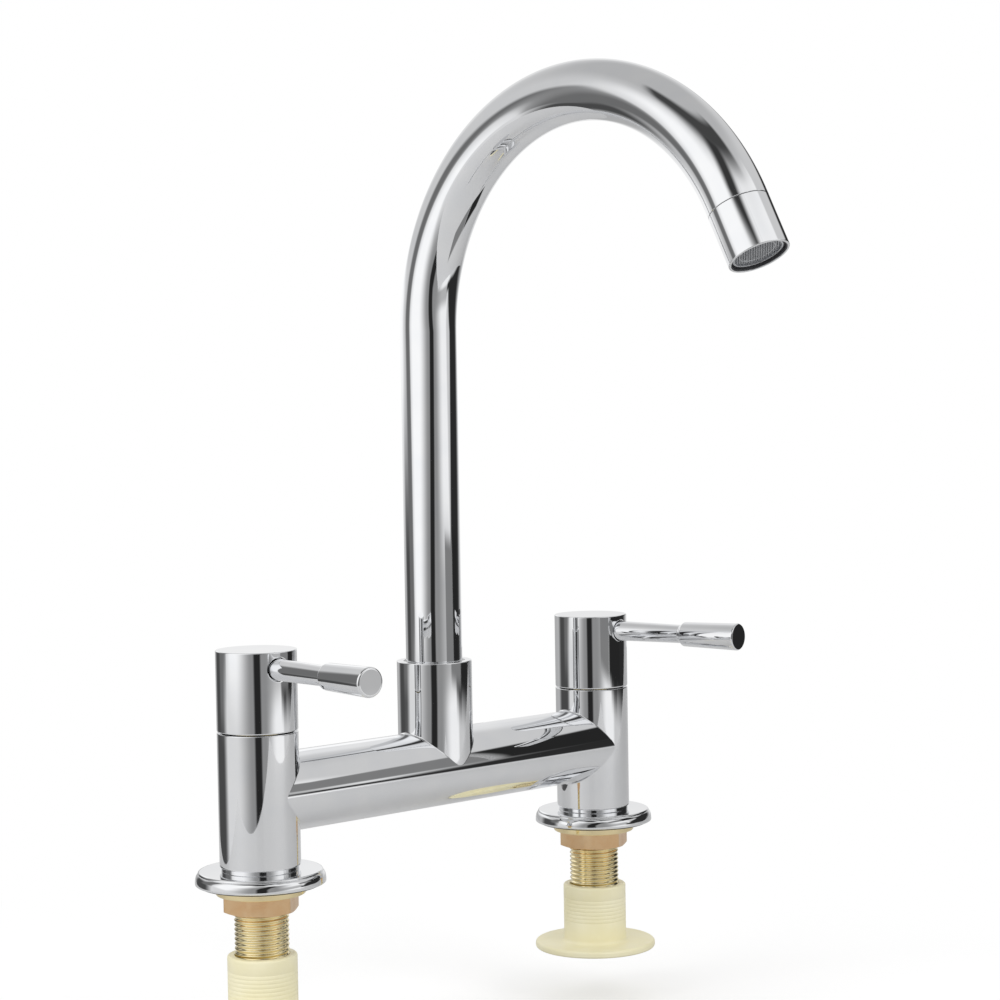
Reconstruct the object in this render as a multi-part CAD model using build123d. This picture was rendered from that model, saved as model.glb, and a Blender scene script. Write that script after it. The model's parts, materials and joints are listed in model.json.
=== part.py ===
from build123d import *
import os
from math import cos, radians, sin

# Two handle kitchen mixer for a worktop or sink ledge. Two hollow valve pillars stand on
# base flanges, a bridge tube joins them, and a gooseneck spout turns in a socket saddled on
# the bridge. Each pillar holds a quarter turn ceramic cartridge under a hollow handle cap
# with a turned pin lever, and stands on a threaded shank with a mounting nut.
#
# Millimetres. X runs along the bridge, the spout and the levers point to -Y, +Z is up. The
# origin is midway between the two shanks on the worktop, at the underside of the gaskets.

# ---------------------------------------------------------------- driving dimensions
valve_spacing = 180.0  # between the two shank axes

# Clearances, all radial unless a name says otherwise
running_fit = 0.05  # between pieces that turn or slide in one another
joint_fit = 0.05  # between pieces that are screwed, glued or brazed together
film = 0.02  # water film between the two ceramic discs
drop_in_gap = 0.3  # round pieces that only pass through
cap_gap = 0.4  # between the handle cap and the valve body, along Z
cut_past = 1.0  # how far cutting shapes run past the face that they cut

# Pillars
pillar_diameter = 31.0
body_length = 53.0
neck_depth = 0.6  # how far the foot of the pillar is drawn in
neck_height = 1.7
edge_break = 0.4  # small chamfers on turned edges
chamber_wall = 3.2
throat_bore = 12.0  # narrow water way from the shank up to the cartridge seat
port_bore = 19.0  # side port from the pillar into the bridge
port_depth_below_axis = 11.0  # from the bridge axis down to the cartridge seat

# Base flange and its gasket
flange_diameter = 50.0
flange_thickness = 5.1
flange_foot_round = 0.5
flange_rim_height = 2.7  # up to where the nearly upright rim goes over into its shoulder
flange_rim_lean = 12.0  # how far the rim leans in at that height
flange_shoulder_round = 2.6
flange_shoulder_lean = 50.0  # where the shoulder ends in the groove
flange_groove = 0.2
gasket_proud = 0.6
gasket_recess = 1.0
gasket_inner = 37.6
gasket_rim = 1.6  # from the gasket's edge to the flange's edge

# Shank, a parallel pipe thread of nominal half inch
shank_diameter = 20.955
shank_length = 71.0
shank_socket = 12.3  # how far it screws into the pillar
shank_end_chamfer = 1.2
inlet_bore = 14.0
inlet_depth = 40.0  # wide part of the shank's bore, from its lower end

# Lock nut under the flange
lock_collar_diameter = 34.4
lock_collar_height = 4.0
lock_hex_across = 26.0
lock_hex_height = 6.9
left_lock_hex_angle = 39.0  # how one corner stands to +X
right_lock_hex_angle = 30.0
lock_cone_angle = 30.0

# Mounting nut
nut_sleeve_diameter = 26.8
nut_length = 27.5
nut_flange_diameter = 51.6
nut_flange_thickness = 1.8
nut_drop = 26.8  # from the worktop down to the nut's top, as it is stored
nut_step = 0.5
nut_step_height = 1.6
nut_edge = 0.8
nut_rim_round = 0.63
nut_lead = 2.6  # depth of the thread-free mouth at the bottom

# Bridge and spout socket
bridge_height = 28.3  # from the foot of the pillar to the bridge axis
bridge_diameter = 30.8
bridge_wall = 1.8
socket_diameter = 30.4
socket_height = 44.0  # from the bridge axis to the rim
socket_skirt = 2.0  # from the bridge axis up to the lowest point of the saddle
socket_floor = 20.0  # from the bridge axis to the floor of the bore
socket_wall = 2.8
spout_passage = 18.0

# Gooseneck spout
spout_diameter = 22.8
spout_wall = 1.2
spout_bend_height = 210.5  # where the riser starts to bend
spout_bend_radius = 88.0
spout_bend_angle = 152.5
spout_tail = 21.8  # straight end past the bend, with the collar

# Ferrule at the foot of the spout
ferrule_lift = 0.3
ferrule_length = 19.7
ferrule_cup = 6.0
ferrule_ring_low = 3.0  # first sealing ring, up from the ferrule's foot
ferrule_ring_pitch = 3.7
ring_section = 1.6
ring_groove_width = 2.2
retainer_height = 10.7  # retaining groove, up from the ferrule's foot
retainer_width = 3.2
retainer_depth = 1.5
slip_ring_height = 3.3
slip_ring_inset = 0.4

# Grub screw that holds the spout in its socket
grub_diameter = 5.0
grub_length = 2.6
grub_nose_diameter = 2.6
grub_nose_length = 1.3
grub_inset = 0.2
grub_key = 2.5
grub_key_depth = 1.56

# Handle cap and its core
cap_length = 30.9
cap_wall = 1.8
cap_top_wall = 2.5
core_length = 20.5
lever_height_below_top = 6.6
lever_hole_gap = 0.2
lever_hole_chamfer = 0.5

# Lever, a turned pin
lever_reach = 74.0  # from the pillar axis to the lever's end
lever_root_diameter = 8.4
lever_waist_diameter = 7.6
lever_waist_at = 46.0
lever_shoulder = 2.2
lever_grip_start_diameter = 10.2
lever_grip_end_diameter = 11.2
lever_end_round = 0.9
lever_stud_diameter = 6.0
lever_seat_at = 12.6
left_rest_angle = -3.8  # from straight forward, towards +X
right_rest_angle = 10.8

# Ceramic cartridge
cage_diameter = 17.8
cage_wall = 0.8
cage_lift = 1.4
seal_height = 2.6
seal_bore = 10.4
disc_height = 3.2
disc_window_angle = 84.0
disc_window_inner = 2.2
disc_rim = 1.2
cage_window_angle = 70.0
cartridge_flange_diameter = 24.4
cartridge_flange_height = 2.3
cartridge_flange_sink = 2.0
cartridge_thread_length = 10.0
cartridge_hex_across = 19.0
cartridge_hex_height = 5.5
spindle_diameter = 10.0
spindle_foot_width = 6.0
spindle_foot_height = 3.6
tang_width = 3.0
tang_depth = 1.2
spline_diameter = 8.0
spline_depth = 0.4
spline_teeth = 20
spindle_ring_section = 1.5
spindle_ring_height = 15.0  # above the spindle's foot
spindle_groove_width = 2.1
clip_height = 0.8
clip_reach = 2.0
clip_gap = 0.1
clip_mouth_width = 4.8

# Outlet: bush in the spout's end, screwed collar, and the aerator in it
collar_length = 20.0
collar_seam = 0.15
collar_mouth_depth = 2.5
collar_mouth_rim = 0.9
collar_edge = 0.25
bush_inside = 3.6
bush_thread_length = 9.0
bush_wall = 1.55
washer_height = 1.6
washer_lip = 0.6  # how far the washer reaches in past the bush
aerator_flange_height = 1.4
aerator_flange_land = 0.75
aerator_recess = 2.0  # from the collar's mouth to the aerator's edge
aerator_edge_width = 0.65
aerator_wall = 1.15
screen_thickness = 0.4
screen_inset = 0.5
screen_hole = 1.3
screen_pitch = 2.1
screen_rings = 3
diffuser_height = 2.0
diffuser_inset = 2.5
diffuser_spokes = 6
# slots of the diffuser: from and to which share of its radius, and share of a spoke's angle
diffuser_slots = ((0.3, 0.55, 0.6), (0.68, 0.92, 0.7))

# ---------------------------------------------------------------- worked out from them
pillar_radius = pillar_diameter / 2
bridge_radius = bridge_diameter / 2
socket_radius = socket_diameter / 2
spout_radius = spout_diameter / 2
shank_radius = shank_diameter / 2
thread_hole = shank_radius + joint_fit

flange_bottom = gasket_proud
flange_top = flange_bottom + flange_thickness
body_top = flange_top + body_length
cap_bottom = body_top + cap_gap
cap_top = cap_bottom + cap_length
bridge_axis = flange_top + bridge_height
seat = bridge_axis - port_depth_below_axis
shank_top = flange_top + shank_socket
shank_bottom = shank_top - shank_length
chamber_radius = pillar_radius - chamber_wall

seal_top = seat + seal_height
fixed_disc_top = seal_top + disc_height
moving_disc_bottom = fixed_disc_top + film
moving_disc_top = moving_disc_bottom + disc_height
foot_top = moving_disc_top + spindle_foot_height
cage_bottom = seat + cage_lift
cage_roof = foot_top + drop_in_gap
cage_bore = cage_diameter / 2 - cage_wall
disc_radius = cage_bore - running_fit
cartridge_shoulder = body_top - cartridge_flange_sink
cartridge_flange_top = cartridge_shoulder + cartridge_flange_height
cartridge_top = cartridge_flange_top + cartridge_hex_height
chamber_top = cartridge_shoulder - cartridge_thread_length
clip_bottom = cartridge_top + clip_gap
clip_top = clip_bottom + clip_height

cap_ceiling = cap_top - cap_top_wall
core_bottom = cap_ceiling - core_length
spindle_top = cap_ceiling - drop_in_gap
lever_axis = cap_top - lever_height_below_top
spline_radius = spline_diameter / 2
lever_root_radius = lever_root_diameter / 2

socket_rim = bridge_axis + socket_height
socket_bottom = bridge_axis + socket_floor
socket_bore = socket_radius - socket_wall
ferrule_foot = socket_bottom + ferrule_lift
ferrule_top = ferrule_foot + ferrule_length
tube_foot = ferrule_top - ferrule_cup
ferrule_radius = socket_bore - running_fit
retainer_level = ferrule_foot + retainer_height
slip_ring_top = socket_rim - slip_ring_inset

collar_bore = spout_radius - spout_wall
bush_radius = collar_bore - running_fit
bush_end = collar_length - bush_thread_length
washer_end = bush_end - washer_height
aerator_seat = washer_end - aerator_flange_height
aerator_radius = collar_bore - aerator_flange_land
diffuser_level = aerator_recess + diffuser_inset


# ---------------------------------------------------------------- shared shapes
def rod(radius, low, high):
    """Round bar on the Z axis between two heights."""
    return Pos(0, 0, (low + high) / 2) * Cylinder(radius, high - low)


def ring(outer, inner, low, high):
    """Round ring on the Z axis between two heights."""
    return rod(outer, low, high) - rod(inner, low, high)


def hex_bar(across, low, high, angle=0.0):
    """Hexagonal bar on the Z axis, sized across its flats."""
    outline = Rot(0, 0, angle) * RegularPolygon(across / 2, 6, major_radius=False)
    return Pos(0, 0, low) * extrude(outline, high - low)


def turned(*outline):
    """Solid turned about the Z axis from the corners (radius, height) of its half section."""
    section = make_face(Polyline(*outline, close=True))
    return revolve(Plane.XZ * section, Axis.Z)


def sector(inner, outer, span, middle, low, high):
    """Ring sector that spans an angle about a middle direction, for the water windows."""
    start = radians(middle - span / 2)
    centre = radians(middle)
    end = radians(middle + span / 2)
    places = ((inner, start), (outer, start), (outer, end), (inner, end))
    corners = [(r * cos(a), r * sin(a)) for r, a in places]
    tips = [(r * cos(centre), r * sin(centre)) for r in (inner, outer)]
    edge = (
        Line(corners[0], corners[1])
        + ThreePointArc(corners[1], tips[1], corners[2])
        + Line(corners[2], corners[3])
        + ThreePointArc(corners[3], tips[0], corners[0])
    )
    return Pos(0, 0, low) * extrude(make_face(edge), high - low)


def splined_bar(outer, depth, low, high):
    """Bar with the spline's teeth, for the spindle and for the socket that it drives."""
    steps = [(outer - depth * (i % 2), 180 * i / spline_teeth) for i in range(2 * spline_teeth)]
    corners = [(r * cos(radians(a)), r * sin(radians(a))) for r, a in steps]
    return Pos(0, 0, low) * extrude(make_face(Polyline(*corners, close=True)), high - low)


def seal_ring(groove, section, level):
    """Rubber ring of round section, lying in a groove of the given radius."""
    return Pos(0, 0, level) * Torus(groove + section / 2, section / 2)


def along_x(radius, start, end, level):
    """Round bar along X at a height."""
    return Pos((start + end) / 2, 0, level) * Rot(0, 90, 0) * Cylinder(radius, abs(end - start))


def forward(shape, level):
    """Turns a shape made along Z to point straight forward from the pillar's axis."""
    return Pos(0, 0, level) * Rot(90, 0, 0) * shape


# ---------------------------------------------------------------- pillar
def valve_body(inward):
    """Hollow pillar: shank socket, seat, water chamber, cartridge thread and side port."""
    body = rod(pillar_radius, flange_top, body_top)
    body -= ring(pillar_radius + cut_past, pillar_radius - neck_depth, flange_top, flange_top + neck_height)
    body = chamfer(body.edges().group_by(Axis.Z)[-1], edge_break)
    body -= rod(thread_hole, flange_top, shank_top)
    body -= rod(throat_bore / 2, shank_top, seat)
    body -= rod(chamber_radius, seat, chamber_top)
    body -= rod(thread_hole, chamber_top, cartridge_shoulder)
    body -= rod(cartridge_flange_diameter / 2 + joint_fit, cartridge_shoulder, body_top)
    return body - along_x(port_bore / 2, 0, inward * (pillar_radius + cut_past), bridge_axis)


def base_flange():
    """Turned flange: a rounded foot, a slightly bowed rim, a round shoulder, a fine groove and a lip."""
    hole = thread_hole + drop_in_gap
    outer = flange_diameter / 2
    foot = flange_foot_round
    foot_top = flange_bottom + foot
    rim_top = flange_bottom + flange_rim_height
    bow = (rim_top - foot_top) / sin(radians(flange_rim_lean))

    def leaning(start, size, first, last):
        """Arc up the flange's outside, from one lean of its surface to another."""
        places = [
            (
                start[0] - size * (cos(radians(first)) - cos(radians(lean))),
                start[1] + size * (sin(radians(lean)) - sin(radians(first))),
            )
            for lean in ((first + last) / 2, last)
        ]
        return ThreePointArc(start, *places), places[-1]

    rim, rim_end = leaning((outer, foot_top), bow, 0, flange_rim_lean)
    shoulder, groove = leaning(rim_end, flange_shoulder_round, flange_rim_lean, flange_shoulder_lean)
    inner = (groove[0] - flange_groove, groove[1] + flange_groove / 2)
    lip = (groove[0], groove[1] + flange_groove)
    lip_round = flange_top - lip[1]
    corner = lip_round * (1 - sin(radians(45)))
    lip_end = (lip[0] - lip_round, flange_top)
    profile = (
        Line((hole, flange_bottom), (outer - foot, flange_bottom))
        + ThreePointArc(
            (outer - foot, flange_bottom),
            (outer - foot * (1 - sin(radians(45))), foot_top - foot * cos(radians(45))),
            (outer, foot_top),
        )
        + rim
        + shoulder
        + Polyline(groove, inner, lip)
        + ThreePointArc(lip, (lip[0] - corner, flange_top - corner), lip_end)
        + Line(lip_end, (hole, flange_top))
        + Line((hole, flange_top), (hole, flange_bottom))
    )
    flange = revolve(Plane.XZ * make_face(profile), Axis.Z)
    gasket_outer = outer - gasket_rim + joint_fit
    recess_top = flange_bottom + gasket_recess
    return flange - ring(gasket_outer, gasket_inner / 2 - joint_fit, flange_bottom, recess_top)


def base_gasket():
    """Flat rubber ring in the flange's recess, standing a little proud of it."""
    return ring(flange_diameter / 2 - gasket_rim, gasket_inner / 2, 0, flange_bottom + gasket_recess)


def threaded_shank():
    """Hollow shank with a stepped bore, its thread drawn as the crest cylinder."""
    crest = shank_radius
    tip = crest - shank_end_chamfer
    step = shank_bottom + inlet_depth
    return turned(
        (inlet_bore / 2, shank_bottom),
        (tip, shank_bottom),
        (crest, shank_bottom + shank_end_chamfer),
        (crest, shank_top - shank_end_chamfer),
        (tip, shank_top),
        (throat_bore / 2, shank_top),
        (throat_bore / 2, step),
        (inlet_bore / 2, step),
    )


def lock_nut(angle):
    """Hexagon nut with a round collar above and a cone on its lower corners."""
    collar_low = flange_bottom - lock_collar_height
    low = collar_low - lock_hex_height
    nut = hex_bar(lock_hex_across, low, collar_low, angle)
    drop = lock_hex_height * 2
    spread = drop / sin(radians(lock_cone_angle)) * cos(radians(lock_cone_angle))
    start = lock_hex_across / 2 - edge_break
    nut &= turned((0, low), (start, low), (start + spread, low + drop), (0, low + drop))
    nut += rod(lock_collar_diameter / 2, collar_low, flange_bottom)
    return nut - rod(thread_hole, low, flange_bottom)


def mounting_nut():
    """Moulded nut: a long sleeve over a thin wide flange, with a small step between them."""
    top = -nut_drop
    low = top - nut_length
    face = low + nut_flange_thickness
    sleeve = nut_sleeve_diameter / 2
    nut = turned(
        (shank_radius + running_fit, top - nut_edge / 2),
        (shank_radius + running_fit + nut_edge / 2, top),
        (sleeve - nut_edge, top),
        (sleeve, top - nut_edge),
        (sleeve, face + nut_step_height),
        (sleeve + nut_step, face + nut_step_height - nut_step),
        (sleeve + nut_step, face),
        (nut_flange_diameter / 2, face),
        (nut_flange_diameter / 2, low),
        (shank_radius + running_fit + nut_edge, low),
        (shank_radius + running_fit + nut_edge, low + nut_lead),
        (shank_radius + running_fit, low + nut_lead + nut_edge),
    )
    widest = nut.edges().filter_by(GeomType.CIRCLE).group_by(SortBy.RADIUS)[-1]
    return fillet(widest, nut_rim_round)


# ---------------------------------------------------------------- cartridge
def cartridge_body():
    """Brass headwork: a cage for the discs with two windows, a thread, a flange and a hexagon."""
    body = turned(
        (0, cage_bottom),
        (cage_diameter / 2, cage_bottom),
        (cage_diameter / 2, chamber_top),
        (shank_radius, chamber_top),
        (shank_radius, cartridge_shoulder),
        (cartridge_flange_diameter / 2, cartridge_shoulder),
        (cartridge_flange_diameter / 2, cartridge_flange_top),
        (0, cartridge_flange_top),
    )
    body += hex_bar(cartridge_hex_across, cartridge_flange_top, cartridge_top)
    body -= rod(cage_bore, cage_bottom, cage_roof)
    body -= rod(spindle_diameter / 2 + running_fit, cage_roof, cartridge_top)
    for middle in (0, 180):
        window = sector(
            cage_bore - cut_past,
            cage_diameter / 2 + cut_past,
            cage_window_angle,
            middle,
            moving_disc_bottom,
            cage_roof,
        )
        body -= window
    return body


def seat_seal():
    """Rubber ring that presses the discs together against the seat."""
    return ring(cage_bore - joint_fit, seal_bore / 2, seat, seal_top)


def ceramic_disc(low, high, middles):
    """Lapped disc with two water windows."""
    disc = rod(disc_radius, low, high)
    for middle in middles:
        disc -= sector(disc_window_inner, disc_radius - disc_rim, disc_window_angle, middle, low, high)
    return disc


def moving_disc():
    """Upper disc, closed when its windows lie across the fixed disc's, slotted for the tang."""
    disc = ceramic_disc(moving_disc_bottom, moving_disc_top, (90, 270))
    slot = Box(tang_width + 2 * joint_fit, 2 * disc_radius, tang_depth + joint_fit)
    return disc - Pos(0, 0, moving_disc_top - (tang_depth + joint_fit) / 2) * Rot(0, 0, 90) * slot


def spindle():
    """Brass spindle: tang and foot bar below, sealing ring groove, clip groove, spline on top."""
    shaft = spindle_diameter / 2
    bar = Box(2 * cage_bore, spindle_foot_width, spindle_foot_height)
    tang = Box(2 * cage_bore, tang_width, tang_depth)
    foot = Pos(0, 0, (moving_disc_top + foot_top) / 2) * bar
    foot += Pos(0, 0, moving_disc_top - tang_depth / 2) * tang
    foot &= rod(cage_bore - 3 * running_fit, moving_disc_bottom, foot_top)
    body = foot + rod(shaft, foot_top, clip_top)
    body += splined_bar(spline_radius, spline_depth, clip_top, spindle_top)
    level = foot_top + spindle_ring_height
    half = spindle_groove_width / 2
    body -= ring(shaft + cut_past, spindle_ring_groove(), level - half, level + half)
    return body - ring(shaft + cut_past, spline_radius, clip_bottom, clip_top)


def spindle_ring_groove():
    """Radius at the bottom of the spindle's sealing ring groove."""
    return spindle_diameter / 2 + running_fit / 2 - spindle_ring_section


def retaining_clip():
    """Spring clip in the spindle's groove, above the cartridge's hexagon."""
    clip = ring(spline_radius + clip_reach, spline_radius, clip_bottom, clip_top)
    mouth = Box(spline_radius + clip_reach, clip_mouth_width, clip_height)
    return clip - Pos(-(spline_radius + clip_reach) / 2, 0, (clip_bottom + clip_top) / 2) * mouth


# ---------------------------------------------------------------- handle
def handle_cap():
    """Hollow cap with a flat top and a chamfered hole for the lever."""
    cap = rod(pillar_radius, cap_bottom, cap_top)
    cap = chamfer(cap.edges().group_by(Axis.Z)[0], edge_break)
    cap = fillet(cap.edges().group_by(Axis.Z)[-1], edge_break)
    cap -= rod(pillar_radius - cap_wall, cap_bottom, cap_ceiling)
    hole = lever_root_radius + lever_hole_gap
    mouth = pillar_radius + cut_past
    cut = rod(hole, lever_seat_at, mouth)
    flat = pillar_radius - lever_hole_chamfer - hole * hole / (2 * pillar_radius)
    cut += turned((0, flat), (hole, flat), (hole + mouth - flat, mouth), (0, mouth))
    return cap - forward(cut, lever_axis)


def handle_core():
    """Core glued in the cap: splined socket for the spindle and a threaded hole for the lever."""
    core = rod(pillar_radius - cap_wall - joint_fit, core_bottom, cap_ceiling)
    core -= splined_bar(spline_radius + joint_fit, spline_depth, core_bottom, spindle_top + joint_fit)
    core -= forward(rod(lever_stud_diameter / 2 + joint_fit, 0, pillar_radius), lever_axis)
    return core - forward(rod(lever_root_radius + joint_fit, lever_seat_at, pillar_radius), lever_axis)


def lever():
    """Turned pin: threaded stud, tapering stem, a waist, and a flared grip with a round edge."""
    stud = lever_stud_diameter / 2
    waist = lever_waist_diameter / 2
    start = lever_grip_start_diameter / 2
    end = lever_grip_end_diameter / 2
    round_start = lever_reach - lever_end_round
    shoulder_end = lever_waist_at + lever_shoulder
    corner = lever_end_round * (1 - sin(radians(45)))
    bow = (end - corner, lever_reach - corner)
    profile = (
        Polyline(
            (0, spline_radius + joint_fit),
            (stud, spline_radius + joint_fit),
            (stud, lever_seat_at),
            (lever_root_radius, lever_seat_at),
            (waist, lever_waist_at),
        )
        + Spline(
            (waist, lever_waist_at),
            (start, shoulder_end),
            tangents=[(0.1, 1), (0.1, 1)],
        )
        + Line((start, shoulder_end), (end, round_start))
        + ThreePointArc((end, round_start), bow, (end - lever_end_round, lever_reach))
        + Line((end - lever_end_round, lever_reach), (0, lever_reach))
        + Line((0, lever_reach), (0, spline_radius + joint_fit))
    )
    return forward(revolve(Plane.XZ * make_face(profile), Axis.Z), lever_axis)


# ---------------------------------------------------------------- bridge and socket
def bridge_tube():
    """Tube coped to both pillars at its ends, with the water hole under the socket."""
    half = valve_spacing / 2
    tube = along_x(bridge_radius, -half, half, bridge_axis)
    tube -= along_x(bridge_radius - bridge_wall, -half, half, bridge_axis)
    for side in (-1, 1):
        tube -= Pos(side * half, 0, 0) * rod(pillar_radius, flange_top, cap_bottom)
    return tube - rod(spout_passage / 2, bridge_axis, bridge_axis + bridge_radius + cut_past)


def spout_socket():
    """Socket saddled over the bridge, bored for the ferrule and tapped behind for a grub screw."""
    socket = rod(socket_radius, bridge_axis + socket_skirt, socket_rim)
    socket = chamfer(socket.edges().group_by(Axis.Z)[-1], edge_break)
    socket -= along_x(bridge_radius, -socket_diameter, socket_diameter, bridge_axis)
    socket -= rod(spout_passage / 2, bridge_axis, socket_bottom)
    socket -= rod(socket_bore, socket_bottom, socket_rim)
    hole = rod(grub_diameter / 2 + joint_fit, socket_bore - cut_past, socket_radius + cut_past)
    return socket - Rot(0, 0, 180) * forward(hole, retainer_level)


def grub_screw():
    """Socket set screw whose nose stands in the ferrule's groove."""
    outer = socket_radius - grub_inset
    inner = outer - grub_length
    screw = rod(grub_diameter / 2, inner, outer)
    screw += rod(grub_nose_diameter / 2, inner - grub_nose_length, inner)
    screw -= hex_bar(grub_key, outer - grub_key_depth, outer)
    return Rot(0, 0, 180) * forward(screw, retainer_level)


def slip_ring():
    """Plastic bearing ring between the spout tube and the socket's rim."""
    return ring(socket_bore, spout_radius + running_fit, slip_ring_top - slip_ring_height, slip_ring_top)


# ---------------------------------------------------------------- spout
def spout_ferrule():
    """Foot of the spout: a cup for the tube, two sealing ring grooves and the retaining groove."""
    ferrule = rod(ferrule_radius, ferrule_foot, ferrule_top)
    ferrule = chamfer(ferrule.edges().group_by(Axis.Z)[0], edge_break)
    ferrule -= rod(spout_radius, tube_foot, ferrule_top)
    ferrule -= rod(spout_passage / 2, ferrule_foot, tube_foot)
    for level in ferrule_ring_levels():
        half = ring_groove_width / 2
        ferrule -= ring(ferrule_radius + cut_past, ferrule_ring_groove(), level - half, level + half)
    half = retainer_width / 2
    groove = ferrule_radius - retainer_depth
    return ferrule - ring(ferrule_radius + cut_past, groove, retainer_level - half, retainer_level + half)


def ferrule_ring_levels():
    """Heights of the two sealing rings on the ferrule."""
    first = ferrule_foot + ferrule_ring_low
    return first, first + ferrule_ring_pitch


def ferrule_ring_groove():
    """Radius at the bottom of the ferrule's sealing ring grooves."""
    return ferrule_radius - ring_section


def spout_path(start, past_bend):
    """Centre line of the gooseneck: riser, bend, and a straight end past the bend."""
    centre = (0, -spout_bend_radius, spout_bend_height)
    end = bend_end()
    middle_angle = radians(spout_bend_angle / 2)
    middle = (
        0,
        centre[1] + spout_bend_radius * cos(middle_angle),
        centre[2] + spout_bend_radius * sin(middle_angle),
    )
    tip = end + outlet_direction() * past_bend
    riser = Line((0, 0, start), (0, 0, spout_bend_height))
    return riser + ThreePointArc((0, 0, spout_bend_height), middle, tuple(end)) + Line(tuple(end), tuple(tip))


def bend_end():
    """Where the bend ends and the straight end starts."""
    angle = radians(spout_bend_angle)
    return Vector(
        0,
        spout_bend_radius * (cos(angle) - 1),
        spout_bend_height + spout_bend_radius * sin(angle),
    )


def outlet_direction():
    """Direction in which the water leaves."""
    angle = radians(spout_bend_angle)
    return Vector(0, -sin(angle), cos(angle))


def at_outlet(shape):
    """Places a shape made along Z so that z = 0 is the collar's mouth and +z runs up the spout."""
    mouth = bend_end() + outlet_direction() * spout_tail
    return Location(Plane(origin=tuple(mouth), x_dir=(1, 0, 0), z_dir=tuple(outlet_direction() * -1))) * shape


def gooseneck_tube():
    """Bent tube from the ferrule to the collar's seam."""
    path = spout_path(tube_foot, spout_tail - collar_length)
    section = Circle(spout_radius) - Circle(spout_radius - spout_wall)
    return sweep(Pos(0, 0, tube_foot) * section, path=path)


# ---------------------------------------------------------------- outlet
def outlet_bush():
    """Bush brazed in the spout's end, its threaded nose standing out to carry the collar."""
    bush = rod(bush_radius, bush_end, collar_length)
    bush += rod(collar_bore - 2 * joint_fit, collar_length, collar_length + bush_inside)
    return at_outlet(bush - rod(bush_radius - bush_wall, bush_end, collar_length + bush_inside))


def aerator_collar():
    """Screwed collar, flush with the spout, with an inner shoulder that holds the aerator."""
    top = collar_length - collar_seam
    collar = turned(
        (spout_radius - collar_mouth_rim, 0),
        (spout_radius - collar_edge, 0),
        (spout_radius, collar_edge),
        (spout_radius, top - collar_edge),
        (spout_radius - collar_edge, top),
        (collar_bore, top),
        (collar_bore, aerator_seat),
        (aerator_radius + running_fit, aerator_seat),
        (aerator_radius + running_fit, collar_mouth_depth),
        (spout_radius - collar_mouth_rim, collar_mouth_depth),
    )
    return at_outlet(collar)


def aerator_washer():
    """Rubber washer between the bush and the aerator."""
    inner = bush_radius - bush_wall - washer_lip
    return at_outlet(ring(collar_bore - 2 * running_fit, inner, washer_end, bush_end))


def aerator_insert():
    """Moulded aerator: flange, skirt with a bright edge, and a diffuser plate of spokes."""
    inner = aerator_radius - aerator_wall
    shell = turned(
        (aerator_radius - aerator_edge_width, aerator_recess),
        (aerator_radius, aerator_recess),
        (aerator_radius, aerator_seat),
        (collar_bore - 2 * running_fit, aerator_seat),
        (collar_bore - 2 * running_fit, washer_end),
        (inner, washer_end),
        (inner, screen_seat()),
        (aerator_radius - aerator_edge_width, screen_seat()),
    )
    top = diffuser_level + diffuser_height
    plate = rod(inner, diffuser_level, top)
    for i in range(diffuser_spokes):
        span = 360 / diffuser_spokes
        middle = span * (i + 0.5)
        for start, end, share in diffuser_slots:
            plate -= sector(inner * start, inner * end, span * share, middle, diffuser_level, top)
    return at_outlet(shell + plate)


def screen_seat():
    """Level of the ledge that the screen lies on."""
    return aerator_recess + screen_inset + screen_thickness


def aerator_screen():
    """Round screen with a close hexagonal pattern of holes."""
    low = aerator_recess + screen_inset
    reach = aerator_radius - aerator_edge_width - joint_fit
    screen = rod(reach, low, low + screen_thickness)
    spots = [
        (screen_pitch * (i + j / 2), screen_pitch * j * sin(radians(60)))
        for i in range(-screen_rings, screen_rings + 1)
        for j in range(-screen_rings, screen_rings + 1)
        if abs(i + j) <= screen_rings
    ]
    holes = [Pos(x, y, 0) * rod(screen_hole / 2, low, low + screen_thickness) for x, y in spots]
    return at_outlet(screen - holes)


# ---------------------------------------------------------------- the assembly
def side_parts(name, side, rest_angle, hex_angle):
    """All pieces of one pillar, at its place, the handle group turned to its rest angle."""
    fixed = {
        "valve_body": valve_body(-side),
        "base_flange": base_flange(),
        "base_gasket": base_gasket(),
        "threaded_shank": threaded_shank(),
        "lock_nut": lock_nut(hex_angle),
        "mounting_nut": mounting_nut(),
        "cartridge_body": cartridge_body(),
        "seat_seal": seat_seal(),
        "fixed_disc": ceramic_disc(seal_top, fixed_disc_top, (0, 180)),
    }
    ring_level = foot_top + spindle_ring_height
    turning = {
        "handle_cap": handle_cap(),
        "handle_core": handle_core(),
        "lever": lever(),
        "spindle": spindle(),
        "moving_disc": moving_disc(),
        "spindle_ring": seal_ring(spindle_ring_groove(), spindle_ring_section, ring_level),
        "retaining_clip": retaining_clip(),
    }
    place = Pos(side * valve_spacing / 2, 0, 0)
    parts = {f"{name}_{key}": place * shape for key, shape in fixed.items()}
    turn = Rot(0, 0, rest_angle)
    parts.update({f"{name}_{key}": place * turn * shape for key, shape in turning.items()})
    return parts


def centre_parts():
    """The bridge, the socket and everything on the spout."""
    lower, upper = ferrule_ring_levels()
    return {
        "bridge_tube": bridge_tube(),
        "spout_socket": spout_socket(),
        "grub_screw": grub_screw(),
        "slip_ring": slip_ring(),
        "spout_ferrule": spout_ferrule(),
        "lower_sealing_ring": seal_ring(ferrule_ring_groove(), ring_section, lower),
        "upper_sealing_ring": seal_ring(ferrule_ring_groove(), ring_section, upper),
        "gooseneck_tube": gooseneck_tube(),
        "outlet_bush": outlet_bush(),
        "aerator_collar": aerator_collar(),
        "aerator_washer": aerator_washer(),
        "aerator_insert": aerator_insert(),
        "aerator_screen": aerator_screen(),
    }


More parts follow.
